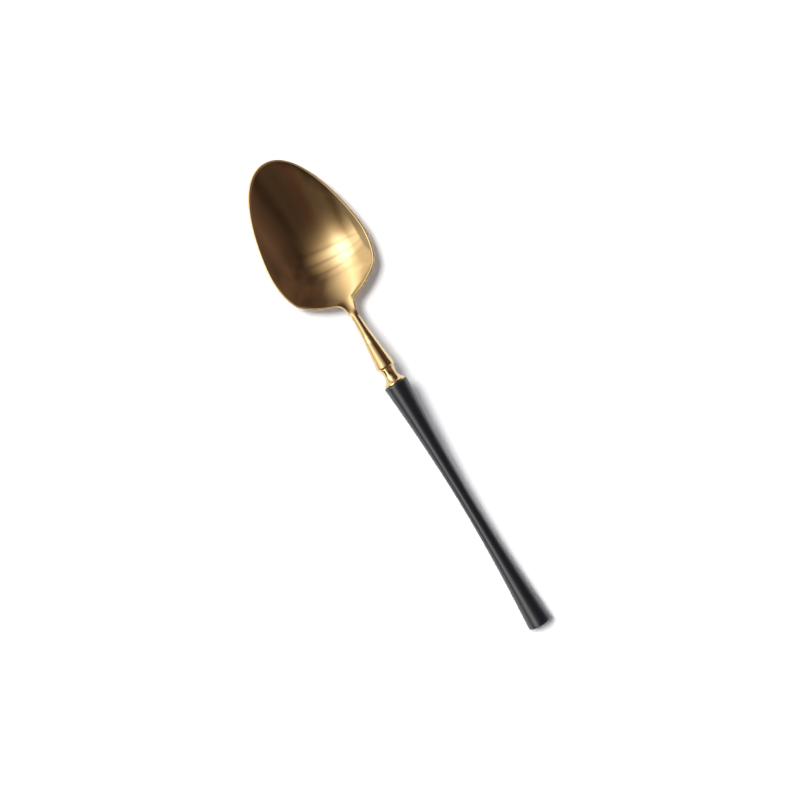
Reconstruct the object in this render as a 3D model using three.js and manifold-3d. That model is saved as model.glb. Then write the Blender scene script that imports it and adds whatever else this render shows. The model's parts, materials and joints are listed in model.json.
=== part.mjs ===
import * as THREE from 'three';
import { LoftGeometry } from 'three/addons/geometries/LoftGeometry.js';
import { mergeVertices } from 'three/addons/utils/BufferGeometryUtils.js';
import Module from 'manifold-3d';

// Table spoon: a gilt steel head, a turned collar, and a waisted black grip on
// a hidden steel tang. Millimetres. X runs from the tip of the bowl to the end
// of the grip, Y across the bowl, Z up. The spoon lies on the table at Z = 0
// on the back of its bowl and the end of its grip, and the origin is under the
// middle of its length. Distances "from the tip" are measured along X.

// --- Driving dimensions ---------------------------------------------------

const SPOON_LENGTH = 210;
const JOINT_GAP = 0.3;

const BOWL = {
  width: 41.7,
  widestAt: 41,
  deepestAt: 41,
  tipFullness: 15.5,
  sideFullness: 8.2,
  heelFullness: 6.4,
  floor: 1.6,
  keelRound: 8,
  rimHeight: 9.9,
  tipRise: 0.7,
  tipRiseAt: 22,
  neckRiseAt: 62.4,
  neckRiseBend: 3,
  sideWall: THREE.MathUtils.degToRad(46),
  heelWall: THREE.MathUtils.degToRad(17),
  heelWallFrom: 46,
  heelWallBy: 58,
  ramp: THREE.MathUtils.degToRad(30),
};

// Two places on the outline at the heel. Each handle is how far the curve is
// drawn out before or after its place: along the spoon and across it.
const HEEL_CORNER = {
  at: 55.5,
  halfWidth: 17,
  before: { along: 1.9, across: 2 },
  after: { along: 3.7, across: 4 },
};
const HEEL_ROOT = {
  at: 61.9,
  halfWidth: 6.05,
  before: { along: 0.8, across: 2.15 },
  after: { along: 0.7, across: 2.15 },
};

const STEM = {
  flatFrom: 58.4,
  flatBy: 63.9,
  neckAt: 70,
  narrowestAt: 69.6,
  fillet: { at: 63.4, halfWidth: 1.95 },
  neckRadius: 1.7,
  neckThickness: 2.6,
  neckLip: 0.6,
  turnFrom: 66,
  turnBy: 74,
  roundFrom: 71,
  roundBy: 79,
  archEnd: 82,
  shoulderAt: 92,
  shoulderRadius: 3.8,
  shoulderRound: 0.7,
  flare: 1.5,
};

// The metal's edge, from the inside over the rim to the back: how far in from
// the outline and how far from the rim's height each line runs.
const RIM = [
  { inset: 0.95, rise: -0.25 },
  { inset: 0.65, rise: -0.02 },
  { inset: 0.25, rise: -0.05 },
  { inset: 0, rise: -0.42 },
  { inset: 0.14, rise: -0.92 },
];
const RIM_CREST = 1;

const COLLAR = {
  length: 6.4,
  frontRadius: 3,
  waistRadius: 2.55,
  waistAt: 2.8,
  rimRadius: 4.2,
  rimWidth: 0.8,
};

const TANG = {
  radius: 1.3,
  socketDepth: 7,
  depthInGrip: 90,
  clearAhead: 1,
  grooveDepth: 0.3,
  grooveWidth: 1.5,
  grooveCount: 4,
  groovePitch: 8,
};

const GRIP = {
  frontRadius: 4.9,
  waistRadius: 2.64,
  endRadius: 4.95,
  waistAt: 152,
  frontTaper: 1.7,
  rearTaper: 2,
  frontChamfer: 0.25,
  endRound: 0.6,
  tilt: THREE.MathUtils.degToRad(5.4),
};

const OUTLINE_SPACING = 2;
const CURVE_POINTS = 60;
const INSIDE_STEPS = 9;
const BACK_STEPS = 8;
const FAN_AT = 16;
const TURNED_SIDES = 36;
const TANG_SIDES = 16;
const COLLAR_STEPS = 9;
const GRIP_STEPS = 8;
const ROUND_STEPS = 3;

// --- Derived places -------------------------------------------------------

const TIP_X = -SPOON_LENGTH / 2;
const tilt = GRIP.tilt;

// The end of the grip touches the table with its lower edge, and its upper
// edge is the farthest point of the spoon from the tip.
const flatEndRadius = GRIP.endRadius - GRIP.endRound;
const END_Z = flatEndRadius * Math.cos(tilt) + GRIP.endRound * (1 - Math.sin(tilt));
const END_X = -TIP_X - flatEndRadius * Math.sin(tilt) - GRIP.endRound * (1 - Math.cos(tilt));

// Height of the long axis of the stem, collar and grip.
function axisHeight(fromTip) {
  return END_Z + (END_X - TIP_X - fromTip) * Math.tan(tilt);
}

// Place along that axis, counted from the centre of the grip's end.
function axisPlace(fromTip) {
  return (fromTip + TIP_X - END_X) / Math.cos(tilt);
}

const shoulder = axisPlace(STEM.shoulderAt);
const stemEnd = shoulder + STEM.shoulderRound;
const collarFront = stemEnd + JOINT_GAP;
const collarBack = collarFront + COLLAR.length;
const gripFront = collarBack + JOINT_GAP;
const gripWaist = axisPlace(GRIP.waistAt);
const boreRadius = TANG.radius + JOINT_GAP;

// --- Solids, joined and cut -----------------------------------------------

const manifold = await Module();
manifold.setup();

function toSolid(geometry) {
  const bare = new THREE.BufferGeometry();
  bare.setAttribute('position', geometry.attributes.position);
  bare.setIndex(geometry.index);
  const welded = mergeVertices(bare);
  const corners = welded.index.array;
  const triangles = [];
  for (let first = 0; first < corners.length; first += 3) {
    const [a, b, c] = corners.slice(first, first + 3);
    const isFlat = a === b || b === c || c === a;
    if (!isFlat) triangles.push(a, b, c);
  }
  const mesh = new manifold.Mesh({
    numProp: 3,
    vertProperties: new Float32Array(welded.attributes.position.array),
    triVerts: new Uint32Array(triangles),
  });
  return new manifold.Manifold(mesh);
}

function toGeometry(solid) {
  const mesh = solid.getMesh();
  const geometry = new THREE.BufferGeometry();
  geometry.setAttribute('position', new THREE.BufferAttribute(mesh.vertProperties, 3));
  geometry.setIndex(new THREE.BufferAttribute(mesh.triVerts, 1));
  geometry.computeVertexNormals();
  return geometry;
}

// A turned piece: the profile is a list of [place along the axis, radius].
function turned(profile, sides = TURNED_SIDES) {
  const points = profile.map(([place, radius]) => new THREE.Vector2(radius, place));
  const geometry = new THREE.LatheGeometry(points, sides);
  geometry.rotateZ(-Math.PI / 2);
  return geometry;
}

// A turned piece with a through bore: the profile closes on itself.
function turnedTube(outside, radius) {
  const front = outside[0][0];
  const back = outside[outside.length - 1][0];
  return turned([[front, radius], ...outside, [back, radius], [front, radius]]);
}

// --- Head: bowl, neck and stem --------------------------------------------

const { clamp, lerp, smoothstep } = THREE.MathUtils;

function handleBefore({ at, halfWidth, before }) {
  return [at - before.along, halfWidth + before.across];
}

function handleAfter({ at, halfWidth, after }) {
  return [at + after.along, halfWidth - after.across];
}

// Half of the head's edge in plan: [from the tip, half width].
function halfOutline() {
  const halfWidth = BOWL.width / 2;
  const bowl = new THREE.Path();
  bowl.moveTo(0, 0);
  bowl.bezierCurveTo(
    0, BOWL.tipFullness,
    BOWL.widestAt - BOWL.sideFullness, halfWidth,
    BOWL.widestAt, halfWidth,
  );
  bowl.bezierCurveTo(
    BOWL.widestAt + BOWL.heelFullness, halfWidth,
    ...handleBefore(HEEL_CORNER),
    HEEL_CORNER.at, HEEL_CORNER.halfWidth,
  );
  bowl.bezierCurveTo(
    ...handleAfter(HEEL_CORNER),
    ...handleBefore(HEEL_ROOT),
    HEEL_ROOT.at, HEEL_ROOT.halfWidth,
  );
  bowl.bezierCurveTo(
    ...handleAfter(HEEL_ROOT),
    STEM.fillet.at, STEM.fillet.halfWidth,
    STEM.narrowestAt, STEM.neckRadius,
  );
  const line = bowl.getPoints(CURVE_POINTS);
  for (let step = 1; step <= CURVE_POINTS; step++) {
    const share = step / CURVE_POINTS;
    line.push(new THREE.Vector2(
      lerp(STEM.narrowestAt, STEM.shoulderAt, share),
      lerp(STEM.neckRadius, STEM.shoulderRadius, share ** STEM.flare),
    ));
  }
  return line;
}

const outline = halfOutline();

// Places along the outline, each with the way in across the metal.
function stations() {
  const places = [{ spot: outline[0], inward: new THREE.Vector2(1, 0) }];
  let travelled = 0;
  for (let index = 1; index < outline.length; index++) {
    const along = outline[index].clone().sub(outline[index - 1]);
    travelled += along.length();
    if (travelled >= OUTLINE_SPACING * places.length) {
      along.normalize();
      places.push({ spot: outline[index], inward: new THREE.Vector2(along.y, -along.x) });
    }
  }
  return places;
}

// On the neck the inside and the rim run into one flat face.
function rimLine(fromTip, line) {
  const neck = smoothstep(fromTip, STEM.flatFrom, STEM.flatBy);
  const { inset, rise } = RIM[line];
  return {
    inset: inset * lerp(1, STEM.neckLip, neck),
    rise: line <= RIM_CREST ? rise * (1 - neck) : rise,
  };
}

// The outline moved in to one of the rim's lines, up to the end of the head.
function insetOutline(line) {
  const points = [new THREE.Vector2(RIM[line].inset, 0)];
  for (let index = 1; index < outline.length; index++) {
    const before = outline[index - 1];
    const along = outline[index].clone().sub(before).normalize();
    const { inset } = rimLine(before.x, line);
    const spot = new THREE.Vector2(before.x + along.y * inset, before.y - along.x * inset);
    if (spot.x > points[points.length - 1].x && spot.y > 0) points.push(spot);
  }
  return points;
}

const innerLine = insetOutline(0);
const outerLine = insetOutline(RIM.length - 1);

function halfWidthOf(line, fromTip) {
  const next = line.findIndex((point) => point.x > fromTip);
  if (next === 0) return line[0].y;
  if (next < 0) return line[line.length - 1].y;
  const [before, after] = [line[next - 1], line[next]];
  return lerp(before.y, after.y, (fromTip - before.x) / (after.x - before.x));
}

// The rim is level, a little higher at the tip, and turns up the ramp at the neck.
function rimHeight(fromTip) {
  const ahead = Math.max(0, BOWL.tipRiseAt - fromTip) / BOWL.tipRiseAt;
  const past = fromTip - BOWL.neckRiseAt;
  const climb = (Math.hypot(past, BOWL.neckRiseBend) + past) / 2;
  return BOWL.rimHeight + BOWL.tipRise * ahead ** 2 + Math.tan(BOWL.ramp) * climb;
}

const neckTop = rimHeight(STEM.neckAt);
const neckDrop = STEM.neckThickness / 2 / Math.cos(BOWL.ramp);

// Height of the lowest line: down from the tip, round the deepest place, up the ramp.
function keelHeight(fromTip, floor, start, startHeight, neckHeight) {
  const run = fromTip - BOWL.deepestAt;
  if (run < 0) {
    const full = Math.hypot(BOWL.deepestAt - start, BOWL.keelRound) - BOWL.keelRound;
    const climb = Math.hypot(run, BOWL.keelRound) - BOWL.keelRound;
    return floor + (startHeight - floor) * climb / full;
  }
  const slope = Math.tan(BOWL.ramp);
  const bend = 2 * (STEM.neckAt - BOWL.deepestAt - (neckHeight - floor) / slope);
  return run < bend
    ? floor + slope * run * run / (2 * bend)
    : floor + slope * (run - bend / 2);
}

// Height of the inside or the back at a place in plan: a round dish between
// the lowest line and the rim, with softer walls towards the heel.
function skinHeight(place, floor, line, rimIndex, neckHeight) {
  const start = RIM[rimIndex].inset;
  const startHeight = rimHeight(start) + RIM[rimIndex].rise;
  const rim = rimHeight(place.x) + rimLine(place.x, rimIndex).rise;
  const low = Math.min(rim, keelHeight(place.x, floor, start, startHeight, neckHeight));
  const heel = smoothstep(place.x, BOWL.heelWallFrom, BOWL.heelWallBy);
  const wall = lerp(Math.sin(BOWL.sideWall), Math.sin(BOWL.heelWall), heel);
  const reach = wall * clamp(Math.abs(place.y) / halfWidthOf(line, place.x), 0, 1);
  const share = (1 - Math.sqrt(1 - reach ** 2)) / (1 - Math.sqrt(1 - wall ** 2));
  return lerp(low, rim, share);
}

function insideHeight(place) {
  return skinHeight(place, BOWL.floor, innerLine, 0, neckTop);
}

function backHeight(place) {
  return skinHeight(place, 0, outerLine, RIM.length - 1, neckTop - 2 * neckDrop);
}

// One row of the skin: from the middle of the inside, over the edge, to the
// middle of the back. At the tip the rows fan out from one place.
function bowlRow({ spot, inward }) {
  const centre = new THREE.Vector2(Math.max(spot.x, FAN_AT), 0);
  const edge = RIM.map((_, line) => {
    const { inset, rise } = rimLine(spot.x, line);
    const place = spot.clone().addScaledVector(inward, inset);
    return new THREE.Vector3(place.x, place.y, rimHeight(place.x) + rise);
  });
  const row = [];
  for (let step = 0; step < INSIDE_STEPS; step++) {
    const place = centre.clone().lerp(edge[0], step / INSIDE_STEPS);
    row.push(new THREE.Vector3(place.x, place.y, insideHeight(place)));
  }
  row.push(...edge);
  for (let step = BACK_STEPS - 1; step >= 0; step--) {
    const place = centre.clone().lerp(edge[edge.length - 1], step / BACK_STEPS);
    row.push(new THREE.Vector3(place.x, place.y, backHeight(place)));
  }
  return row;
}

// Middle of the stem: up the ramp, over the arch, and down the long axis.
function stemMiddle(fromTip) {
  const fall = -Math.tan(tilt);
  if (fromTip >= STEM.archEnd) {
    return { height: axisHeight(fromTip), slope: fall };
  }
  const low = neckTop - neckDrop;
  const high = axisHeight(STEM.archEnd);
  const climb = Math.tan(BOWL.ramp);
  const run = STEM.archEnd - STEM.neckAt;
  const t = (fromTip - STEM.neckAt) / run;
  const height = low * (2 * t ** 3 - 3 * t ** 2 + 1)
    + high * (3 * t ** 2 - 2 * t ** 3)
    + climb * run * (t ** 3 - 2 * t ** 2 + t)
    + fall * run * (t ** 3 - t ** 2);
  const slope = (high - low) * (6 * t - 6 * t ** 2) / run
    + climb * (3 * t ** 2 - 4 * t + 1)
    + fall * (3 * t ** 2 - 2 * t);
  return { height, slope };
}

// Half a ring with as many points as the other rows, from its top to its bottom.
function halfRing(centre, lean, halfWidth, halfThickness) {
  const last = INSIDE_STEPS + RIM.length + BACK_STEPS - 1;
  const ring = [];
  for (let step = 0; step <= last; step++) {
    const angle = Math.PI * (0.5 - step / last);
    const up = halfThickness * Math.sin(angle);
    ring.push(new THREE.Vector3(
      centre.x - up * Math.sin(lean),
      step === last ? 0 : halfWidth * Math.cos(angle),
      centre.z + up * Math.cos(lean),
    ));
  }
  ring[0].y = 0;
  return ring;
}

function stemRow({ spot }) {
  const { height, slope } = stemMiddle(spot.x);
  const rounding = smoothstep(spot.x, STEM.roundFrom, STEM.roundBy);
  const halfThickness = lerp(STEM.neckThickness / 2, spot.y, rounding);
  return halfRing(new THREE.Vector3(spot.x, 0, height), Math.atan(slope), spot.y, halfThickness);
}

function headRow(station) {
  const turn = smoothstep(station.spot.x, STEM.turnFrom, STEM.turnBy);
  if (turn === 0) return bowlRow(station);
  if (turn === 1) return stemRow(station);
  const round = stemRow(station);
  return bowlRow(station).map((point, index) => point.lerp(round[index], turn));
}

// The rounded shoulder, its flat face, and the socket that takes the tang:
// [place along the axis, radius], closed at the bottom of the socket.
function stemEndProfile() {
  const profile = [];
  for (let step = 0; step <= ROUND_STEPS; step++) {
    const angle = Math.PI / 2 * step / ROUND_STEPS;
    profile.push([
      shoulder + STEM.shoulderRound * Math.sin(angle),
      STEM.shoulderRadius - STEM.shoulderRound * (1 - Math.cos(angle)),
    ]);
  }
  const bottom = stemEnd - TANG.socketDepth - JOINT_GAP;
  profile.push([stemEnd, boreRadius], [bottom, boreRadius], [bottom, 0]);
  return profile;
}

// One closed skin: rows from the socket along one side to the tip and back
// along the other side.
function headGeometry() {
  const half = stations().map(headRow);
  const ends = stemEndProfile().map(([place, radius]) => {
    const centre = new THREE.Vector3(
      END_X - TIP_X + place * Math.cos(tilt),
      0,
      END_Z - place * Math.sin(tilt),
    );
    return halfRing(centre, -tilt, radius, radius);
  });
  half.push(...ends);
  const otherHalf = half.slice(1).map((row) => row.map(({ x, y, z }) => new THREE.Vector3(x, -y, z)));
  const skin = new LoftGeometry([...half.reverse(), ...otherHalf], { closed: false });
  skin.translate(TIP_X, 0, 0);
  return toGeometry(toSolid(skin));
}

// --- Collar, tang and grip, all on the long axis --------------------------

function collarGeometry() {
  const waist = collarFront + COLLAR.waistAt;
  const flank = (waist + collarBack - COLLAR.rimWidth) / 2;
  const spool = new THREE.SplineCurve([
    new THREE.Vector2(collarFront, COLLAR.frontRadius),
    new THREE.Vector2(waist, COLLAR.waistRadius),
    new THREE.Vector2(flank, (COLLAR.waistRadius * 2 + COLLAR.rimRadius) / 3),
    new THREE.Vector2(collarBack - COLLAR.rimWidth, COLLAR.rimRadius),
  ]);
  const outside = spool.getPoints(COLLAR_STEPS).map((point) => [point.x, point.y]);
  outside.push([collarBack, COLLAR.rimRadius]);
  return turnedTube(outside, boreRadius);
}

// A plain rod with grooves near its far end, which key it into the glue.
function tangGeometry() {
  const front = stemEnd - TANG.socketDepth;
  const back = gripFront + TANG.depthInGrip;
  const profile = [[front, 0], [front, TANG.radius]];
  for (let count = TANG.grooveCount; count >= 1; count--) {
    const start = back - count * TANG.groovePitch;
    const end = start + TANG.grooveWidth;
    profile.push(
      [start, TANG.radius],
      [start, TANG.radius - TANG.grooveDepth],
      [end, TANG.radius - TANG.grooveDepth],
      [end, TANG.radius],
    );
  }
  profile.push([back, TANG.radius], [back, 0]);
  return turned(profile, TANG_SIDES);
}

function gripRadius(place) {
  if (place < gripWaist) {
    const share = (gripWaist - place) / (gripWaist - gripFront);
    return GRIP.waistRadius + (GRIP.frontRadius - GRIP.waistRadius) * share ** GRIP.frontTaper;
  }
  const share = (place - gripWaist) / -gripWaist;
  return GRIP.waistRadius + (GRIP.endRadius - GRIP.waistRadius) * share ** GRIP.rearTaper;
}

function gripGeometry() {
  const boreEnd = gripFront + TANG.depthInGrip + TANG.clearAhead;
  const chamferEnd = gripFront + GRIP.frontChamfer;
  const profile = [
    [boreEnd, 0],
    [boreEnd, boreRadius],
    [gripFront, boreRadius],
    [gripFront, gripRadius(chamferEnd) - GRIP.frontChamfer],
  ];
  const roundStart = -GRIP.endRound;
  for (let step = 0; step <= GRIP_STEPS; step++) {
    const place = lerp(chamferEnd, gripWaist, step / GRIP_STEPS);
    profile.push([place, gripRadius(place)]);
  }
  for (let step = 1; step < GRIP_STEPS; step++) {
    const place = lerp(gripWaist, roundStart, step / GRIP_STEPS);
    profile.push([place, gripRadius(place)]);
  }
  for (let step = 0; step <= ROUND_STEPS; step++) {
    const angle = Math.PI / 2 * step / ROUND_STEPS;
    profile.push([
      roundStart + GRIP.endRound * Math.sin(angle),
      flatEndRadius + GRIP.endRound * Math.cos(angle),
    ]);
  }
  profile.push([0, 0]);
  return turned(profile);
}

// --- Materials and assembly -----------------------------------------------

const satinGold = new THREE.MeshStandardMaterial({ color: 0xc29a55, roughness: 0.35, metalness: 1 });
const polishedGold = new THREE.MeshStandardMaterial({ color: 0xd2a863, roughness: 0.2, metalness: 1 });
const bareSteel = new THREE.MeshStandardMaterial({ color: 0xa9a9a6, roughness: 0.45, metalness: 1 });
const matteBlack = new THREE.MeshStandardMaterial({ color: 0x17181a, roughness: 0.6, metalness: 0 });

function piece(name, geometry, material) {
  const mesh = new THREE.Mesh(geometry, material);
  mesh.name = name;
  return mesh;
}

const spoon = new THREE.Group();
spoon.add(piece('head', headGeometry(), satinGold));

const shaft = new THREE.Group();
shaft.position.set(END_X, 0, END_Z);
shaft.rotation.y = tilt;
shaft.add(piece('collar', collarGeometry(), polishedGold));
shaft.add(piece('tang', tangGeometry(), bareSteel));
shaft.add(piece('grip', gripGeometry(), matteBlack));
spoon.add(shaft);

export default spoon;
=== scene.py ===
import json
import math

import bmesh
import bpy
from mathutils import Matrix, Vector
from mathutils.geometry import interpolate_bezier


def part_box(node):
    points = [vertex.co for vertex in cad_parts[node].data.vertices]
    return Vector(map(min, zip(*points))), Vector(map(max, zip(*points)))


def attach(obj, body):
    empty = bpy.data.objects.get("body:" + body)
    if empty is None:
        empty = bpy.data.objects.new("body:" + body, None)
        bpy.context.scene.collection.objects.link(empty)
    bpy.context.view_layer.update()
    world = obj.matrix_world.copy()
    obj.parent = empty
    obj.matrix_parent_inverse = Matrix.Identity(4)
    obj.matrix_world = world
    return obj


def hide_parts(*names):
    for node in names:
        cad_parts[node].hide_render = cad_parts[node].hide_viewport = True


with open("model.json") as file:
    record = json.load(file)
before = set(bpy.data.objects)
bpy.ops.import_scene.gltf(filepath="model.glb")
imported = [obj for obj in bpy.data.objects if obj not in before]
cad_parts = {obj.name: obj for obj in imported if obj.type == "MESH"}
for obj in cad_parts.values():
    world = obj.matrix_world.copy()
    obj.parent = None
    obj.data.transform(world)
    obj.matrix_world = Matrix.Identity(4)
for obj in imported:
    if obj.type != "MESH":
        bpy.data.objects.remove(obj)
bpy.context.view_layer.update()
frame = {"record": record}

bl_info = {
    "name": "Table spoon with a black grip",
    "version": (1, 0, 0),
    "blender": (4, 5, 0),
    "location": "3D view > Sidebar > Spoon",
    "description": "Makes a gilt table spoon with a waisted black grip around its frame",
    "category": "Add Mesh",
}

MM = 0.001


# --- Places that the frame gives ------------------------------------------

TIP_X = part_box("head")[0].x
HALF_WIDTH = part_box("head")[1].y
GRIP_END = frame["record"]["mounts"][0]
END = Vector(GRIP_END["pos_m"])
AXIS = Vector(GRIP_END["axis"])
ABOVE_AXIS = Vector((-AXIS.z, 0.0, AXIS.x))
AXIS_FALL = AXIS.z / AXIS.x


def from_end(at):
    """Distance in mm along the axis from the grip's end to the place that is `at` from the tip."""
    return (END.x - TIP_X - at * MM) / AXIS.x / MM


def axis_height(at):
    """Height of the axis in mm, `at` mm from the tip."""
    return END.z / MM - (END.x - TIP_X - at * MM) / MM * AXIS_FALL


# --- Settings -------------------------------------------------------------

def size(label, note, millimetres):
    return bpy.props.FloatProperty(
        name=label, description=note, default=millimetres * MM, precision=5,
        unit="LENGTH", subtype="DISTANCE",
    )


def slope(label, note, degrees):
    return bpy.props.FloatProperty(
        name=label, description=note, default=math.radians(degrees), unit="ROTATION", subtype="ANGLE",
    )


def tint(label, note, colour):
    return bpy.props.FloatVectorProperty(
        name=label, description=note, default=colour, size=3, min=0.0, max=1.0, subtype="COLOR",
    )


def share(label, note, value):
    return bpy.props.FloatProperty(
        name=label, description=note, default=value, min=0.0, max=1.0, subtype="FACTOR",
    )


class SpoonBowlSettings(bpy.types.PropertyGroup):
    deepest_at: size("Deepest at", "From the tip to the deepest place", 41)
    floor: size("Floor", "Thickness of the metal under the deepest place", 1.6)
    keel_round: size("Keel rounding", "How far the lowest line bends at the deepest place", 8)
    rim_height: size("Rim height", "Height of the level part of the rim", 9.9)
    tip_rise: size("Tip rise", "How much higher the rim is at the tip", 0.7)
    tip_rise_at: size("Tip rise at", "From the tip to where the rim starts to rise", 22)
    neck_rise_at: size("Neck rise at", "From the tip to where the rim turns up to the neck", 62.4)
    wall: slope("Wall", "Slope of the side walls at the rim", 46)
    heel_wall: slope("Heel wall", "Slope of the softer walls at the heel", 17)
    ramp: slope("Ramp", "Slope from the bowl up to the neck", 30)


class SpoonStemSettings(bpy.types.PropertyGroup):
    neck_at: size("Neck at", "From the tip to the end of the flat neck", 70)
    neck_thickness: size("Neck thickness", "From top to bottom of the neck", 2.6)
    neck_radius: size("Neck half width", "Half the width of the narrowest place", 1.7)
    arch_end: size("Arch end", "From the tip to where the stem runs straight", 82)
    shoulder_at: size("Shoulder at", "From the tip to the widest end of the stem", 92)
    shoulder_radius: size("Shoulder radius", "Radius of the widest end of the stem", 3.8)
    shoulder_round: size("Shoulder rounding", "Rounding of the edge of that end", 0.7)


class SpoonCollarSettings(bpy.types.PropertyGroup):
    front_radius: size("Front radius", "Radius against the stem", 3.05)
    waist_radius: size("Waist radius", "Radius of the narrowest place", 2.55)
    lip_radius: size("Lip radius", "Radius of the thin lip against the grip", 4.28)


class SpoonGripSettings(bpy.types.PropertyGroup):
    front_at: size("Front at", "From the tip to the front of the grip", 99.75)
    front_radius: size("Front radius", "Radius of the front end", 4.9)
    waist_at: size("Waist at", "From the tip to the narrowest place", 152)
    waist_radius: size("Waist radius", "Radius of the narrowest place", 2.64)
    end_radius: size("End radius", "Radius of the far end", 4.95)
    end_round: size("End rounding", "Rounding of the far end's edge", 0.6)


class SpoonFinishSettings(bpy.types.PropertyGroup):
    gold: tint("Gold", "Colour of the coating", (0.81, 0.61, 0.32))
    deep_gold: tint("Deep gold", "Colour of the coating where it is thicker", (0.76, 0.56, 0.28))
    resin: tint("Resin", "Colour of the grip", (0.0010, 0.0030, 0.0062))
    steel: tint("Steel", "Colour of the bare rod", (0.56, 0.56, 0.55))
    gold_roughness: share("Gold roughness", "Roughness of the brushed coating", 0.09)
    resin_roughness: share("Resin roughness", "Roughness of the matte grip", 0.31)


class SpoonStageSettings(bpy.types.PropertyGroup):
    floor_tint: tint("Floor", "Colour of the floor", (0.93, 0.93, 0.93))
    room_tint: tint("Room", "Colour of the dim room round the light", (0.084, 0.056, 0.051))
    lamp_height: size("Lamp height", "Height of the large lamp above the floor", 1200)


SETTINGS = {
    "spoon_bowl": SpoonBowlSettings,
    "spoon_stem": SpoonStemSettings,
    "spoon_collar": SpoonCollarSettings,
    "spoon_grip": SpoonGripSettings,
    "spoon_finish": SpoonFinishSettings,
    "spoon_stage": SpoonStageSettings,
}


# --- Mesh helpers ---------------------------------------------------------

def smoothstep(value, low, high):
    t = min(1.0, max(0.0, (value - low) / (high - low)))
    return t * t * (3.0 - 2.0 * t)


def mix(a, b, t):
    return a + (b - a) * t


def piece_from_rows(name, rows):
    """A closed piece from rows of points in metres. Points that fall together are welded."""
    bm = bmesh.new()
    grid = [[bm.verts.new(point) for point in row] for row in rows]
    for before, after in zip(grid, grid[1:]):
        for corners in zip(before, before[1:], after[1:], after):
            bm.faces.new(corners)
    bmesh.ops.remove_doubles(bm, verts=bm.verts, dist=1e-7)
    bmesh.ops.recalc_face_normals(bm, faces=bm.faces)
    for face in bm.faces:
        face.smooth = True
    mesh = bpy.data.meshes.new(name)
    bm.to_mesh(mesh)
    bm.free()
    piece = bpy.data.objects.new(name, mesh)
    bpy.context.scene.collection.objects.link(piece)
    return piece


# --- Head: bowl, neck and stem --------------------------------------------

WELD = 0.001
RIM_CREST = 3

# From the inside over the rim to the back: (distance in from the edge, height above the rim), in mm.
RIM_PROFILE = [
    (0.95, -0.25), (0.80, -0.08), (0.62, -0.01), (0.40, 0.0), (0.20, -0.06),
    (0.06, -0.20), (0.0, -0.42), (0.03, -0.66), (0.14, -0.92),
]


class Edge:
    """A line of (from the tip, half width) pairs, sorted from tip to stem."""

    def __init__(self, points):
        self.points = points

    def half_width(self, at):
        points = self.points
        if at <= points[0][0]:
            return points[0][1]
        low, high = 0, len(points) - 1
        while high - low > 1:
            middle = (low + high) // 2
            if points[middle][0] <= at:
                low = middle
            else:
                high = middle
        (x0, y0), (x1, y1) = points[low], points[high]
        t = (at - x0) / (x1 - x0) if x1 > x0 else 0.0
        return mix(y0, y1, min(1.0, max(0.0, t)))


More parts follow.
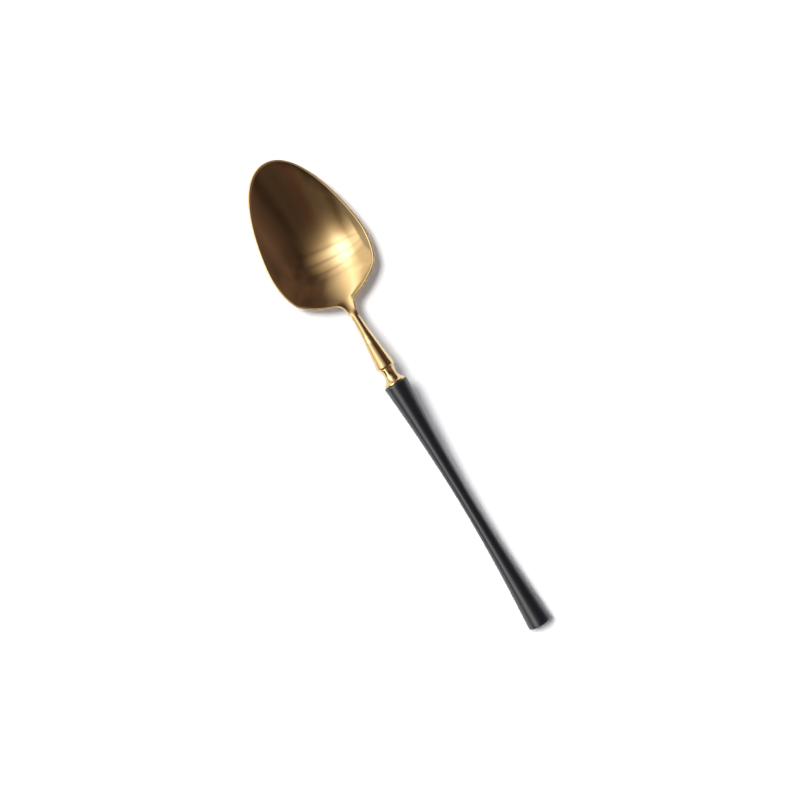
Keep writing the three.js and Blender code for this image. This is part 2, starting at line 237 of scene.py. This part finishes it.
class Head:
    """The head as one skin, in mm from the tip: rows from the middle of the inside, over the
    edge, to the middle of the back, taken in order along the outline."""

    fan_at = 16.0
    spacing = 0.5
    inner_steps = 40
    outer_steps = 36
    curve_steps = 400
    stem_steps = 240
    end_steps = 8

    # The outline's places and the handles of its curves, as (from the tip, half width).
    tip_fullness = 15.5
    side_start = 32.8
    widest_at = 41
    heel_start = 47.4
    heel_corner = (55.5, 17.0)
    heel_root = (61.9, 6.05)
    before_corner = (53.6, 19.0)
    corner_to_root = ((59.2, 13.0), (61.1, 8.2))
    root_to_neck = ((62.6, 3.9), (63.4, 1.95))
    narrowest_ahead = 0.4
    flare = 1.5

    neck_lip = 0.6
    rim_bend = 3.0
    heel_wall_from = 46.0
    heel_wall_by = 58.0
    turn_reach = 4.0
    round_from = 71.0
    round_by = 79.0

    socket_radius = 1.5
    socket_depth = 6.0
    socket_lip = 0.15

    def __init__(self, bowl, stem):
        self.bowl = {name: getattr(bowl, name) / MM for name in (
            "deepest_at", "floor", "keel_round", "rim_height", "tip_rise", "tip_rise_at", "neck_rise_at",
        )}
        self.stem = {name: getattr(stem, name) / MM for name in stem.__annotations__}
        self.side_wall = math.sin(bowl.wall)
        self.heel_wall = math.sin(bowl.heel_wall)
        self.ramp = math.tan(bowl.ramp)
        self.neck_top = self.rim(self.stem["neck_at"])
        self.neck_drop = self.stem["neck_thickness"] / 2 / math.cos(bowl.ramp)
        outline = self.outline()
        self.stations = self.spaced(outline)
        self.inner = self.inset_edge(outline, 0)
        self.outer = self.inset_edge(outline, -1)

    def outline(self):
        """Half of the edge in plan: bowl, heel, fillet, neck and stem."""
        wide = HALF_WIDTH / MM
        neck = self.stem["neck_radius"]
        widest = (self.widest_at, wide)
        narrowest = self.stem["neck_at"] - self.narrowest_ahead
        curves = [
            ((0, 0), (0, self.tip_fullness), (self.side_start, wide), widest),
            (widest, (self.heel_start, wide), self.before_corner, self.heel_corner),
            (self.heel_corner, *self.corner_to_root, self.heel_root),
            (self.heel_root, *self.root_to_neck, (narrowest, neck)),
        ]
        line = []
        for curve in curves:
            line += interpolate_bezier(*(Vector((x, y, 0)) for x, y in curve), self.curve_steps)[:-1]
        for step in range(self.stem_steps + 1):
            along = step / self.stem_steps
            at = mix(narrowest, self.stem["shoulder_at"], along)
            line.append(Vector((at, mix(neck, self.stem["shoulder_radius"], along ** self.flare), 0)))
        return line

    def spaced(self, line):
        """Places along the line, each with the way in across the metal."""
        places = [(line[0], Vector((1, 0, 0)))]
        travelled = 0.0
        for before, after in zip(line, line[1:]):
            travelled += (after - before).length
            if travelled >= self.spacing * len(places):
                along = (after - before).normalized()
                places.append((after, Vector((along.y, -along.x, 0))))
        return places

    def neck_share(self, at):
        """0 in the bowl, 1 on the neck, where the inside and the rim run into one flat face."""
        return smoothstep(at, self.bowl["neck_rise_at"] - 4.0, self.bowl["neck_rise_at"] + 1.5)

    def rim_point(self, at, point):
        """One point of the rim's profile: smaller and without a raised lip on the neck."""
        neck = self.neck_share(at)
        inset, drop = RIM_PROFILE[point]
        if point < RIM_CREST:
            drop *= 1.0 - neck
        return inset * mix(1.0, self.neck_lip, neck), drop

    def inset_edge(self, line, point):
        points = [(RIM_PROFILE[point][0], 0.0)]
        for before, after in zip(line, line[1:]):
            along = (after - before).normalized()
            inward = Vector((along.y, -along.x, 0))
            spot = before + inward * self.rim_point(before.x, point)[0]
            if spot.x > points[-1][0] and spot.y > 0:
                points.append((spot.x, spot.y))
        return Edge(points)

    def rim(self, at):
        """Height of the rim: level, a little higher at the tip, and up the ramp at the neck."""
        bowl = self.bowl
        ahead = max(0.0, bowl["tip_rise_at"] - at) / bowl["tip_rise_at"]
        past = at - bowl["neck_rise_at"]
        up = (math.hypot(past, self.rim_bend) + past) / 2
        return bowl["rim_height"] + bowl["tip_rise"] * ahead ** 2 + self.ramp * up

    def keel(self, at, floor, start, start_height, neck_height):
        """Height of the lowest line: down from the tip, round the deepest place, up the ramp."""
        run = at - self.bowl["deepest_at"]
        if run < 0:
            bend = self.bowl["keel_round"]
            full = math.hypot(self.bowl["deepest_at"] - start, bend) - bend
            return floor + (start_height - floor) * (math.hypot(run, bend) - bend) / full
        length = self.stem["neck_at"] - self.bowl["deepest_at"]
        bend = 2.0 * (length - (neck_height - floor) / self.ramp)
        if run < bend:
            return floor + self.ramp * run * run / (2.0 * bend)
        return floor + self.ramp * (run - bend / 2.0)

    def skin(self, at, side, floor, edge, point, neck_height):
        """Height of the inside or the back at a place in plan."""
        start, start_drop = RIM_PROFILE[point]
        rim = self.rim(at) + self.rim_point(at, point)[1]
        low = min(rim, self.keel(at, floor, start, self.rim(start) + start_drop, neck_height))
        heel = smoothstep(at, self.heel_wall_from, self.heel_wall_by)
        wall = mix(self.side_wall, self.heel_wall, heel)
        reach = wall * min(1.0, abs(side) / max(WELD, edge.half_width(at)))
        rise = (1.0 - math.sqrt(1.0 - reach ** 2)) / (1.0 - math.sqrt(1.0 - wall ** 2))
        return low + (rim - low) * rise

    def inside(self, at, side):
        return self.skin(at, side, self.bowl["floor"], self.inner, 0, self.neck_top)

    def back(self, at, side):
        return self.skin(at, side, 0.0, self.outer, -1, self.neck_top - 2 * self.neck_drop)

    def bowl_row(self, spot, inward):
        centre = Vector((max(spot.x, self.fan_at), 0, 0))
        inner_edge = spot + inward * self.rim_point(spot.x, 0)[0]
        outer_edge = spot + inward * self.rim_point(spot.x, -1)[0]
        row = []
        for step in range(self.inner_steps):
            place = centre.lerp(inner_edge, step / self.inner_steps)
            row.append(Vector((place.x, place.y, self.inside(place.x, place.y))))
        for point in range(len(RIM_PROFILE)):
            inset, drop = self.rim_point(spot.x, point)
            place = spot + inward * inset
            row.append(Vector((place.x, place.y, self.rim(place.x) + drop)))
        for step in reversed(range(self.outer_steps)):
            place = centre.lerp(outer_edge, step / self.outer_steps)
            row.append(Vector((place.x, place.y, self.back(place.x, place.y))))
        return row

    def spine(self, at):
        """Height and slope of the middle of the stem."""
        start = self.stem["neck_at"]
        end = self.stem["arch_end"]
        low = self.neck_top - self.neck_drop
        high = axis_height(end)
        if at >= end:
            return high + (at - end) * AXIS_FALL, AXIS_FALL
        run = end - start
        t = (at - start) / run
        height = (
            low * (2 * t ** 3 - 3 * t ** 2 + 1) + self.ramp * run * (t ** 3 - 2 * t ** 2 + t)
            + high * (3 * t ** 2 - 2 * t ** 3) + AXIS_FALL * run * (t ** 3 - t ** 2)
        )
        rise = (
            (high - low) * (6 * t - 6 * t ** 2) / run
            + self.ramp * (3 * t ** 2 - 4 * t + 1) + AXIS_FALL * (3 * t ** 2 - 2 * t)
        )
        return height, rise

    def half_turn(self):
        """Angles from the top to the bottom, one for each point of a row."""
        last = self.inner_steps + len(RIM_PROFILE) + self.outer_steps - 1
        return [math.pi / 2 - math.pi * step / last for step in range(last + 1)]

    def stem_row(self, at, half_width):
        height, rise = self.spine(at)
        lean = math.atan(rise)
        rounded = smoothstep(at, self.round_from, self.round_by)
        thick = mix(self.stem["neck_thickness"] / 2, half_width, rounded)
        row = []
        for angle in self.half_turn():
            up = thick * math.sin(angle)
            row.append(Vector((
                at - up * math.sin(lean), half_width * math.cos(angle), height + up * math.cos(lean),
            )))
        return row

    def end_rows(self):
        """Rounds the shoulder, crosses its face and lines the socket for the rod."""
        at = self.stem["shoulder_at"]
        radius = self.stem["shoulder_radius"]
        height = self.spine(at)[0]
        ahead = Vector((1, 0, AXIS_FALL)).normalized()
        above = Vector((-ahead.z, 0, ahead.x))
        bulge = self.stem["shoulder_round"]
        face = Vector((at + bulge, 0, height + bulge * AXIS_FALL))
        turns = [math.pi / 2 * step / self.end_steps for step in range(1, self.end_steps + 1)]
        profile = [
            (bulge * math.sin(turn) - bulge, radius - bulge + bulge * math.cos(turn)) for turn in turns
        ]
        profile += [
            (0.0, self.socket_radius + self.socket_lip),
            (-self.socket_lip, self.socket_radius),
            (-self.socket_depth, self.socket_radius),
            (-self.socket_depth, 0.0),
        ]
        rows = []
        for forward, reach in profile:
            row = []
            for angle in self.half_turn():
                spoke = above * math.sin(angle) + Vector((0, math.cos(angle), 0))
                row.append(face + ahead * forward + spoke * reach)
            rows.append(row)
        return rows

    def rows(self):
        half = []
        neck = self.stem["neck_at"]
        for spot, inward in self.stations:
            turned = smoothstep(spot.x, neck - self.turn_reach, neck + self.turn_reach)
            if turned == 0.0:
                row = self.bowl_row(spot, inward)
            elif turned == 1.0:
                row = self.stem_row(spot.x, spot.y)
            else:
                flat = self.bowl_row(spot, inward)
                row = [a.lerp(b, turned) for a, b in zip(flat, self.stem_row(spot.x, spot.y))]
            half.append(row)
        half += self.end_rows()
        other = [[Vector((p.x, -p.y, p.z)) for p in row] for row in half[:0:-1]]
        return [[Vector((TIP_X, 0, 0)) + p * MM for p in row] for row in other + half]


# --- Turned pieces --------------------------------------------------------

# In mm. BORE_END is counted from the grip's far end, COLLAR_WAIST from the collar's front.
BORE_RADIUS = 1.5
BORE_END = 15.0
COLLAR_LENGTH = 6.95
COLLAR_WAIST = 2.7
COLLAR_LIP_ROUND = 0.32
GRIP_CORNER = 0.4
FRONT_TAPER = 1.7
REAR_TAPER = 2
TAPER_STEPS = 64
ROUND_STEPS = 8
TURNED_SIDES = 160


def turned_piece(name, profile):
    """Turns a profile of (distance from the grip's end, radius), in mm, about the axis."""
    rows = []
    for turn in range(TURNED_SIDES + 1):
        angle = 2 * math.pi * (turn % TURNED_SIDES) / TURNED_SIDES
        spoke = Vector((0, math.cos(angle), 0)) + ABOVE_AXIS * math.sin(angle)
        rows.append([END - AXIS * place * MM + spoke * radius * MM for place, radius in profile])
    return piece_from_rows(name, rows)


def curve_points(corners, steps):
    """Points along one bezier curve, without its last one."""
    curve = interpolate_bezier(*(Vector((x, y, 0)) for x, y in corners), steps)
    return [(point.x, point.y) for point in curve[:-1]]


def collar_profile(collar, front):
    """Spool with a cone front, a waist and a thin lip. front is its distance from the grip's end."""
    r_front = collar.front_radius / MM
    r_waist = collar.waist_radius / MM
    r_lip = collar.lip_radius / MM
    length = COLLAR_LENGTH
    waist = COLLAR_WAIST
    lip = r_lip - COLLAR_LIP_ROUND
    nose = (0.0, r_front - 0.15)
    throat = (0.45, r_front - 0.03)
    # Each curve runs from its first place to its last, with two handles in between.
    outer = [(0.0, BORE_RADIUS), nose]
    outer += curve_points((nose, (0.1, r_front), (0.2, r_front), throat), 6)
    outer += curve_points((throat, (1.2, 2.72), (1.9, r_waist), (waist, r_waist)), 14)
    outer += curve_points(((waist, r_waist), (4.1, r_waist), (5.2, 3.0), (5.95, lip)), 18)
    outer += curve_points(((5.95, lip), (6.15, r_lip), (6.35, r_lip), (6.55, r_lip)), 8)
    outer += curve_points(((6.55, r_lip), (6.8, r_lip), (length, r_lip - 0.12), (length, lip)), 8)
    outer += [(length, lip), (length, BORE_RADIUS), (0.0, BORE_RADIUS)]
    return [(front - place, radius) for place, radius in outer]


def grip_profile(grip):
    front = from_end(grip.front_at / MM)
    waist = from_end(grip.waist_at / MM)
    r_front = grip.front_radius / MM
    r_waist = grip.waist_radius / MM
    r_end = grip.end_radius / MM
    soft = grip.end_round / MM
    corner = front - GRIP_CORNER
    edge = (front, r_front - 0.35)
    profile = [(BORE_END, 0.0), (BORE_END, BORE_RADIUS), (front, BORE_RADIUS), edge]
    profile += curve_points(
        (edge, (front, r_front - 0.1), (front - 0.1, r_front), (corner, r_front)), ROUND_STEPS,
    )
    for step in range(TAPER_STEPS):
        place = mix(corner, waist, step / TAPER_STEPS)
        taper = ((place - waist) / (corner - waist)) ** FRONT_TAPER
        profile.append((place, mix(r_waist, r_front, taper)))
    for step in range(TAPER_STEPS):
        place = mix(waist, soft, step / TAPER_STEPS)
        taper = ((waist - place) / (waist - soft)) ** REAR_TAPER
        profile.append((place, mix(r_waist, r_end, taper)))
    for step in range(ROUND_STEPS + 1):
        turn = math.pi / 2 * step / ROUND_STEPS
        profile.append((soft - soft * math.sin(turn), r_end - soft + soft * math.cos(turn)))
    profile.append((0.0, 0.0))
    return profile


# --- Shader helpers -------------------------------------------------------

class Wire:
    """A value socket that Python can add, subtract, multiply and raise."""

    def __init__(self, tree, socket):
        self.tree = tree
        self.socket = socket

    def join(self, operation, first, second, clamp=False):
        settings = {"operation": operation, "use_clamp": clamp}
        return self.tree.add("ShaderNodeMath", settings, {0: first, 1: second})

    def __add__(self, other):
        return self.join("ADD", self, other)

    def __radd__(self, other):
        return self.join("ADD", other, self)

    def __sub__(self, other):
        return self.join("SUBTRACT", self, other)

    def __rsub__(self, other):
        return self.join("SUBTRACT", other, self)

    def __mul__(self, other):
        return self.join("MULTIPLY", self, other)

    def __rmul__(self, other):
        return self.join("MULTIPLY", other, self)

    def __pow__(self, power):
        return self.join("POWER", self, power)

    def __abs__(self):
        return self.join("ABSOLUTE", self, 0.0)

    def between(self, low, high):
        """0 at low, 1 at high, straight in between."""
        return self.join("DIVIDE", self - low, high - low, clamp=True)


class Tree:
    """A node tree that is filled from Python."""

    def __init__(self, node_tree):
        self.nodes = node_tree.nodes
        self.links = node_tree.links

    def add(self, kind, settings, values, output=0):
        """Adds one node: its settings first, then its sockets' values or links."""
        node = self.nodes.new(kind)
        for name, value in settings.items():
            setattr(node, name, value)
        self.fill(node, values)
        return Wire(self, node.outputs[output])

    def fill(self, node, values):
        for name, value in values.items():
            if isinstance(value, Wire):
                self.links.new(value.socket, node.inputs[name])
            else:
                node.inputs[name].default_value = value

    def own_place(self):
        return self.add("ShaderNodeTexCoord", {}, {}, "Object")

    def parts(self, vector):
        split = self.add("ShaderNodeSeparateXYZ", {}, {0: vector})
        return [Wire(self, socket) for socket in split.socket.node.outputs]

    def scaled(self, vector, scale):
        return self.add("ShaderNodeVectorMath", {"operation": "MULTIPLY"}, {0: vector, 1: scale})

    def along(self, vector, direction):
        """Distance of each place along a direction."""
        settings = {"operation": "DOT_PRODUCT"}
        return self.add("ShaderNodeVectorMath", settings, {0: vector, 1: direction}, "Value")

    def noise(self, vector, scale, detail=2.0, roughness=0.5):
        values = {"Vector": vector, "Scale": scale, "Detail": detail, "Roughness": roughness}
        return self.add("ShaderNodeTexNoise", {}, values)

    def blend(self, amount, first, second):
        """Mixes two colours."""
        values = {0: amount, 6: self.colour(first), 7: self.colour(second)}
        return self.add("ShaderNodeMix", {"data_type": "RGBA"}, values, 2)

    def colour(self, value):
        return value if isinstance(value, Wire) else (*value, 1.0)


class Finish(Tree):
    """A new material with one Principled shader."""

    def __init__(self, name):
        self.material = bpy.data.materials.new(name)
        self.material.use_nodes = True
        super().__init__(self.material.node_tree)
        self.shader = self.nodes["Principled BSDF"]

    def surface(self, **values):
        """Names the shader's sockets with _ for a space."""
        self.fill(self.shader, {name.replace("_", " "): value for name, value in values.items()})

    def relief(self, height, strength, depth):
        """Bumps the surface. depth is in metres."""
        values = {"Strength": strength, "Distance": depth, "Height": height}
        self.surface(Normal=self.add("ShaderNodeBump", {}, values))


# --- Finishes -------------------------------------------------------------

def dimmed(colour, share_left):
    return tuple(share_left * channel for channel in colour)


def satin_gold(finish):
    """Gold coating, brushed lengthwise and a little worn by washing."""
    paint = Finish("satin_gold")
    place = paint.own_place()
    brushed = paint.noise(paint.scaled(place, (70, 2600, 2600)), 1.0, 3.0, 0.6)
    fine = paint.noise(paint.scaled(place, (240, 5200, 5200)), 1.0, 2.0)
    cloud = paint.noise(place, 95.0, 3.0)
    wear = paint.noise(place, 420.0, 4.0, 0.65)
    scratch_way = paint.add(
        "ShaderNodeMapping", {}, {"Vector": place, "Rotation": (0.0, 0.0, 0.7), "Scale": (90, 3400, 1200)},
    )
    scratch = paint.noise(scratch_way, 1.0, 1.0).between(0.71, 0.76)
    thick = cloud.between(0.35, 0.70)
    paint.surface(
        Base_Color=paint.blend(thick, tuple(finish.gold), tuple(finish.deep_gold)),
        Metallic=1.0,
        Roughness=(
            finish.gold_roughness - 0.03
            + 0.05 * brushed + 0.03 * thick + 0.03 * wear + 0.05 * scratch
        ),
    )
    paint.relief(brushed + 0.4 * fine - 0.25 * scratch, 0.10, 0.00001)
    return paint.material


def polished_gold(finish):
    """Gold coating with the fine rings that turning leaves."""
    paint = Finish("polished_gold")
    place = paint.own_place()
    lengthwise = paint.along(place, tuple(AXIS))
    rings = paint.noise(paint.add("ShaderNodeCombineXYZ", {}, {0: lengthwise * 7000.0}), 1.0, 2.0)
    cloud = paint.noise(place, 300.0, 3.0)
    paint.surface(
        Base_Color=paint.blend(cloud.between(0.35, 0.7), tuple(finish.gold), tuple(finish.deep_gold)),
        Metallic=1.0,
        Roughness=0.12 + 0.07 * rings + 0.05 * cloud,
    )
    paint.relief(rings, 0.15, 0.00002)
    return paint.material


def matte_resin(finish):
    """Matte black resin with a fine grain and faint handling marks."""
    paint = Finish("matte_black")
    place = paint.own_place()
    grain = paint.noise(place, 3800.0, 3.0, 0.6)
    cloud = paint.noise(place, 160.0, 4.0, 0.6)
    streak = paint.noise(paint.scaled(place, (120, 1500, 1500)), 1.0, 2.0)
    worn = cloud.between(0.45, 0.75)
    dusty = tuple(channel * 1.7 + 0.002 for channel in finish.resin)
    paint.surface(
        Base_Color=paint.blend(worn * 0.6, tuple(finish.resin), dusty),
        Metallic=0.0,
        IOR=1.52,
        Specular_IOR_Level=1.0,
        Roughness=finish.resin_roughness + 0.05 * grain - 0.06 * worn + 0.04 * streak,
    )
    paint.relief(grain + 0.3 * streak, 0.25, 0.00003)
    return paint.material


def bare_steel(finish):
    """Drawn steel rod."""
    paint = Finish("bare_steel")
    place = paint.own_place()
    drawn = paint.noise(paint.scaled(place, (60, 4200, 4200)), 1.0, 3.0)
    stain = paint.noise(place, 220.0, 4.0).between(0.4, 0.75)
    paint.surface(
        Base_Color=paint.blend(stain, tuple(finish.steel), dimmed(finish.steel, 0.72)),
        Metallic=1.0,
        Roughness=0.26 + 0.14 * drawn + 0.10 * stain,
    )
    paint.relief(drawn, 0.2, 0.00002)
    return paint.material


# --- Stage ----------------------------------------------------------------

def flat_card(name, half_length, half_depth, place):
    bm = bmesh.new()
    bmesh.ops.create_grid(bm, x_segments=1, y_segments=1, size=1.0)
    bmesh.ops.scale(bm, vec=(half_length, half_depth, 1.0), verts=bm.verts)
    mesh = bpy.data.meshes.new(name)
    bm.to_mesh(mesh)
    bm.free()
    card = bpy.data.objects.new(name, mesh)
    card.location = place
    bpy.context.scene.collection.objects.link(card)
    return card


def floor_paint(stage):
    paint = Finish("pale_floor")
    paint.surface(Base_Color=(*stage.floor_tint, 1.0), Roughness=0.9, Metallic=0.0, Specular_IOR_Level=0.1)
    return paint.material


def backdrop(radius, height, sides=64):
    """A pale wall all round the floor, seen from low down but neither lighting nor reflected."""
    bm = bmesh.new()
    bmesh.ops.create_cone(
        bm, cap_ends=False, segments=sides, radius1=radius, radius2=radius, depth=height,
    )
    mesh = bpy.data.meshes.new("backdrop")
    bm.to_mesh(mesh)
    bm.free()
    wall = bpy.data.objects.new("backdrop", mesh)
    wall.location = (0, 0, height / 2)
    paint = Finish("pale_wall")
    paint.surface(Base_Color=(0.0, 0.0, 0.0, 1.0), Roughness=1.0, Specular_IOR_Level=0.0)
    paint.surface(Emission_Color=(0.84, 0.84, 0.84, 1.0), Emission_Strength=1.0)
    mesh.materials.append(paint.material)
    for ray in ("glossy", "diffuse", "shadow", "transmission"):
        setattr(wall, "visible_" + ray, False)
    bpy.context.scene.collection.objects.link(wall)


LAMP_GLOW = 2.7
LAMP_COLOUR = (1.0, 1.02, 1.03)
LAMP_EDGE_COLOUR = (1.0, 0.79, 0.58)

# Dark slats across the lamp: (place ahead of its middle, half width, depth).
SLATS = ((-0.02, 0.06, 0.50), (0.36, 0.07, 0.55), (0.80, 0.11, 0.50), (1.25, 0.12, 0.30))


def lamp_paint(height):
    """A wide soft lamp that fades and warms towards the spoon's right and tip, with four thin slats.

    forward and leftward count from its middle to the tip and to the spoon's left, in lamp heights.
    """
    material = bpy.data.materials.new("soft_lamp")
    material.use_nodes = True
    tree = Tree(material.node_tree)
    tree.nodes.remove(tree.nodes["Principled BSDF"])
    x, y, _ = tree.parts(tree.own_place())
    forward = -1.0 / height * x
    leftward = -1.0 / height * y
    ends = forward.between(-0.355, 0.14) ** 1.2 * (1.0 - 0.55 * forward.between(0.45, 1.2))
    sides = leftward.between(-0.62, 0.66) ** 2.0 * (1.0 - 0.65 * leftward.between(0.8, 1.5))
    glow = LAMP_GLOW * ends * sides
    across = forward - 0.13 * leftward
    for centre, half, depth in SLATS:
        glow = glow * (1.0 - depth * (1.0 - abs(across - centre).between(0.0, half)))
    colour = tree.blend((ends * sides).between(0.0, 0.55), LAMP_EDGE_COLOUR, LAMP_COLOUR)
    emission = tree.add("ShaderNodeEmission", {}, {"Color": colour, "Strength": glow})
    clear = tree.add("ShaderNodeBsdfTransparent", {}, {})
    lit = tree.add("ShaderNodeAddShader", {}, {0: emission, 1: clear})
    tree.fill(tree.nodes["Material Output"], {"Surface": lit})
    return material


def lamp_card(name, half_length, half_depth, place, material):
    """A card that only shows as a reflection."""
    card = flat_card(name, half_length, half_depth, place)
    card.data.materials.append(material)
    for ray in ("camera", "diffuse", "shadow", "transmission"):
        setattr(card, "visible_" + ray, False)


LONG_LAMP_SIZE = (1.0, 0.34)
LONG_LAMP_AWAY = 0.55


def long_lamp():
    """A long soft lamp on the left for the handle: it lights only the collar and the grip."""
    light = bpy.data.lights.new("long_lamp", "AREA")
    light.shape = "RECTANGLE"
    light.size, light.size_y = LONG_LAMP_SIZE
    light.energy = 1.8
    light.color = (1.0, 0.99, 0.92)
    lamp = bpy.data.objects.new("long_lamp", light)
    middle = sum((Vector(corner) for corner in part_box("grip")), Vector()) / 2
    towards = Vector((0.0, -0.9, 1.0)).normalized()
    lamp.location = middle + LONG_LAMP_AWAY * towards
    lamp.rotation_mode = "QUATERNION"
    lamp.rotation_quaternion = towards.to_track_quat("Z", "Y")
    bpy.context.scene.collection.objects.link(lamp)
    handle = bpy.data.collections.new("handle_only")
    handle.objects.link(bpy.data.objects["gilt_collar"])
    handle.objects.link(bpy.data.objects["black_grip"])
    lamp.light_linking.receiver_collection = handle


def sun(name, energy, spread, colour, towards):
    light = bpy.data.lights.new(name, "SUN")
    light.energy = energy
    light.color = colour
    light.angle = math.radians(spread)
    lamp = bpy.data.objects.new(name, light)
    lamp.rotation_mode = "QUATERNION"
    lamp.rotation_quaternion = towards.to_track_quat("Z", "Y")
    lamp.visible_glossy = False
    bpy.context.scene.collection.objects.link(lamp)


def room(scene, stage):
    """A dim warm room, paler low down and behind the heel, with a faint red patch."""
    world = bpy.data.worlds.new("studio")
    scene.world = world
    world.use_nodes = True
    tree = Tree(world.node_tree)
    way = tree.add("ShaderNodeTexCoord", {}, {}, "Generated")
    _, rightward, height = tree.parts(way)
    low = (1.0 - height.between(0.55, 0.92)) * rightward.between(-0.6, 0.5)
    folds = tree.noise(way, 2.6, 2.0, 0.5).between(0.32, 0.68)
    room_tint = tuple(stage.room_tint)
    dim = tree.blend(folds, dimmed(room_tint, 0.26), dimmed(room_tint, 0.74))
    dark = tree.blend(low * (0.4 + 0.6 * folds), dim, dimmed(room_tint, 1.6))
    corner = tree.along(way, (0.90, 0.43, 0.0)).between(0.46, 0.80)
    dark = tree.blend(corner, dark, dimmed(room_tint, 2.6))
    ember = tree.along(way, (0.43, -0.29, 0.855)).between(0.984, 0.999)
    warm = tree.blend(0.6 * ember, dark, (0.065, 0.012, 0.014))
    lit_side = tree.along(way, (-0.75, -0.66, 0.0)).between(0.47, 0.75)
    tree.fill(tree.nodes["Background"], {
        "Color": tree.blend(lit_side, warm, (0.52, 0.49, 0.46)),
        "Strength": 1.0,
    })


def camera(scene):
    """A camera above the spoon that looks straight down, with the spoon lying aslant."""
    lens = bpy.data.cameras.new("camera")
    lens.lens = 85
    eye = bpy.data.objects.new("camera", lens)
    scene.collection.objects.link(eye)
    right = Vector((0.51647, 0.85630, 0))
    up = Vector((-0.85630, 0.51647, 0))
    eye.location = Vector((TIP_X + 106.2 * MM, -1.9 * MM, 0.745))
    eye.rotation_mode = "QUATERNION"
    eye.rotation_quaternion = Matrix((right, up, Vector((0, 0, 1)))).transposed().to_quaternion()
    scene.camera = eye


# --- Operators ------------------------------------------------------------

def settle(piece, node, material):
    """Gives a piece its finish and body, and hides the frame's node that it stands for."""
    piece.data.materials.append(material)
    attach(piece, "root")
    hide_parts(node)


class SPOON_OT_head(bpy.types.Operator):
    """Makes the gilt bowl, neck and stem"""
    bl_idname = "spoon.head"
    bl_label = "Head"

    def execute(self, context):
        scene = context.scene
        piece = piece_from_rows("gilt_head", Head(scene.spoon_bowl, scene.spoon_stem).rows())
        settle(piece, "head", satin_gold(scene.spoon_finish))
        return {"FINISHED"}


class SPOON_OT_collar(bpy.types.Operator):
    """Makes the turned collar between the stem and the grip"""
    bl_idname = "spoon.collar"
    bl_label = "Collar"

    def execute(self, context):
        scene = context.scene
        stem = scene.spoon_stem
        front = from_end((stem.shoulder_at + stem.shoulder_round) / MM) - 0.05
        piece = turned_piece("gilt_collar", collar_profile(scene.spoon_collar, front))
        settle(piece, "collar", polished_gold(scene.spoon_finish))
        return {"FINISHED"}


class SPOON_OT_grip(bpy.types.Operator):
    """Makes the waisted black grip"""
    bl_idname = "spoon.grip"
    bl_label = "Grip"

    def execute(self, context):
        scene = context.scene
        piece = turned_piece("black_grip", grip_profile(scene.spoon_grip))
        settle(piece, "grip", matte_resin(scene.spoon_finish))
        return {"FINISHED"}


class SPOON_OT_tang(bpy.types.Operator):
    """Gives the steel rod inside the grip its finish"""
    bl_idname = "spoon.tang"
    bl_label = "Tang"

    def execute(self, context):
        rod = bpy.data.objects["tang"]
        steel = bare_steel(context.scene.spoon_finish)
        if not rod.material_slots:
            raise RuntimeError("the frame's tang has no material slot")
        for slot in rod.material_slots:
            slot.link = "OBJECT"
            slot.material = steel
        return {"FINISHED"}


class SPOON_OT_stage(bpy.types.Operator):
    """Makes the floor, the lights and the camera"""
    bl_idname = "spoon.stage"
    bl_label = "Stage"

    def execute(self, context):
        scene = context.scene
        stage = scene.spoon_stage
        scene.view_settings.view_transform = "Standard"
        floor = flat_card("floor", 6.0, 6.0, (0, 0, 0))
        floor.data.materials.append(floor_paint(stage))
        backdrop(5.5, 5.0)
        above_bowl = (TIP_X + scene.spoon_bowl.deepest_at, 0, stage.lamp_height)
        lamp_card("soft_lamp", 4.5, 4.5, above_bowl, lamp_paint(stage.lamp_height))
        sun("key_light", 2.9, 18, (1.0, 1.0, 1.0), Vector((-0.87 * 0.36, -0.5 * 0.36, 1)))
        sun("fill_light", 0.8, 170, (0.79, 0.90, 1.04), Vector((0, 0, 1)))
        long_lamp()
        room(scene, stage)
        camera(scene)
        return {"FINISHED"}


# The stage is last, because one of its lamps is linked to the collar and the grip.
PIECES = (SPOON_OT_head, SPOON_OT_collar, SPOON_OT_grip, SPOON_OT_tang, SPOON_OT_stage)


class SPOON_PT_panel(bpy.types.Panel):
    """Lists the spoon's pieces and settings"""
    bl_idname = "SPOON_PT_panel"
    bl_label = "Spoon"
    bl_space_type = "VIEW_3D"
    bl_region_type = "UI"
    bl_category = "Spoon"

    def draw(self, context):
        for piece in PIECES:
            self.layout.operator(piece.bl_idname)
        for name, group in SETTINGS.items():
            box = self.layout.box()
            box.label(text=name.replace("_", " ").capitalize())
            for setting in group.__annotations__:
                box.prop(getattr(context.scene, name), setting)


CLASSES = (*SETTINGS.values(), *PIECES, SPOON_PT_panel)


def register():
    for made in CLASSES:
        bpy.utils.register_class(made)
    for name, group in SETTINGS.items():
        setattr(bpy.types.Scene, name, bpy.props.PointerProperty(type=group))


def unregister():
    for name in SETTINGS:
        delattr(bpy.types.Scene, name)
    for made in reversed(CLASSES):
        bpy.utils.unregister_class(made)


def main():
    register()
    bpy.ops.spoon.head()
    bpy.ops.spoon.collar()
    bpy.ops.spoon.grip()
    bpy.ops.spoon.tang()
    bpy.ops.spoon.stage()


if __name__ == "__main__":
    main()
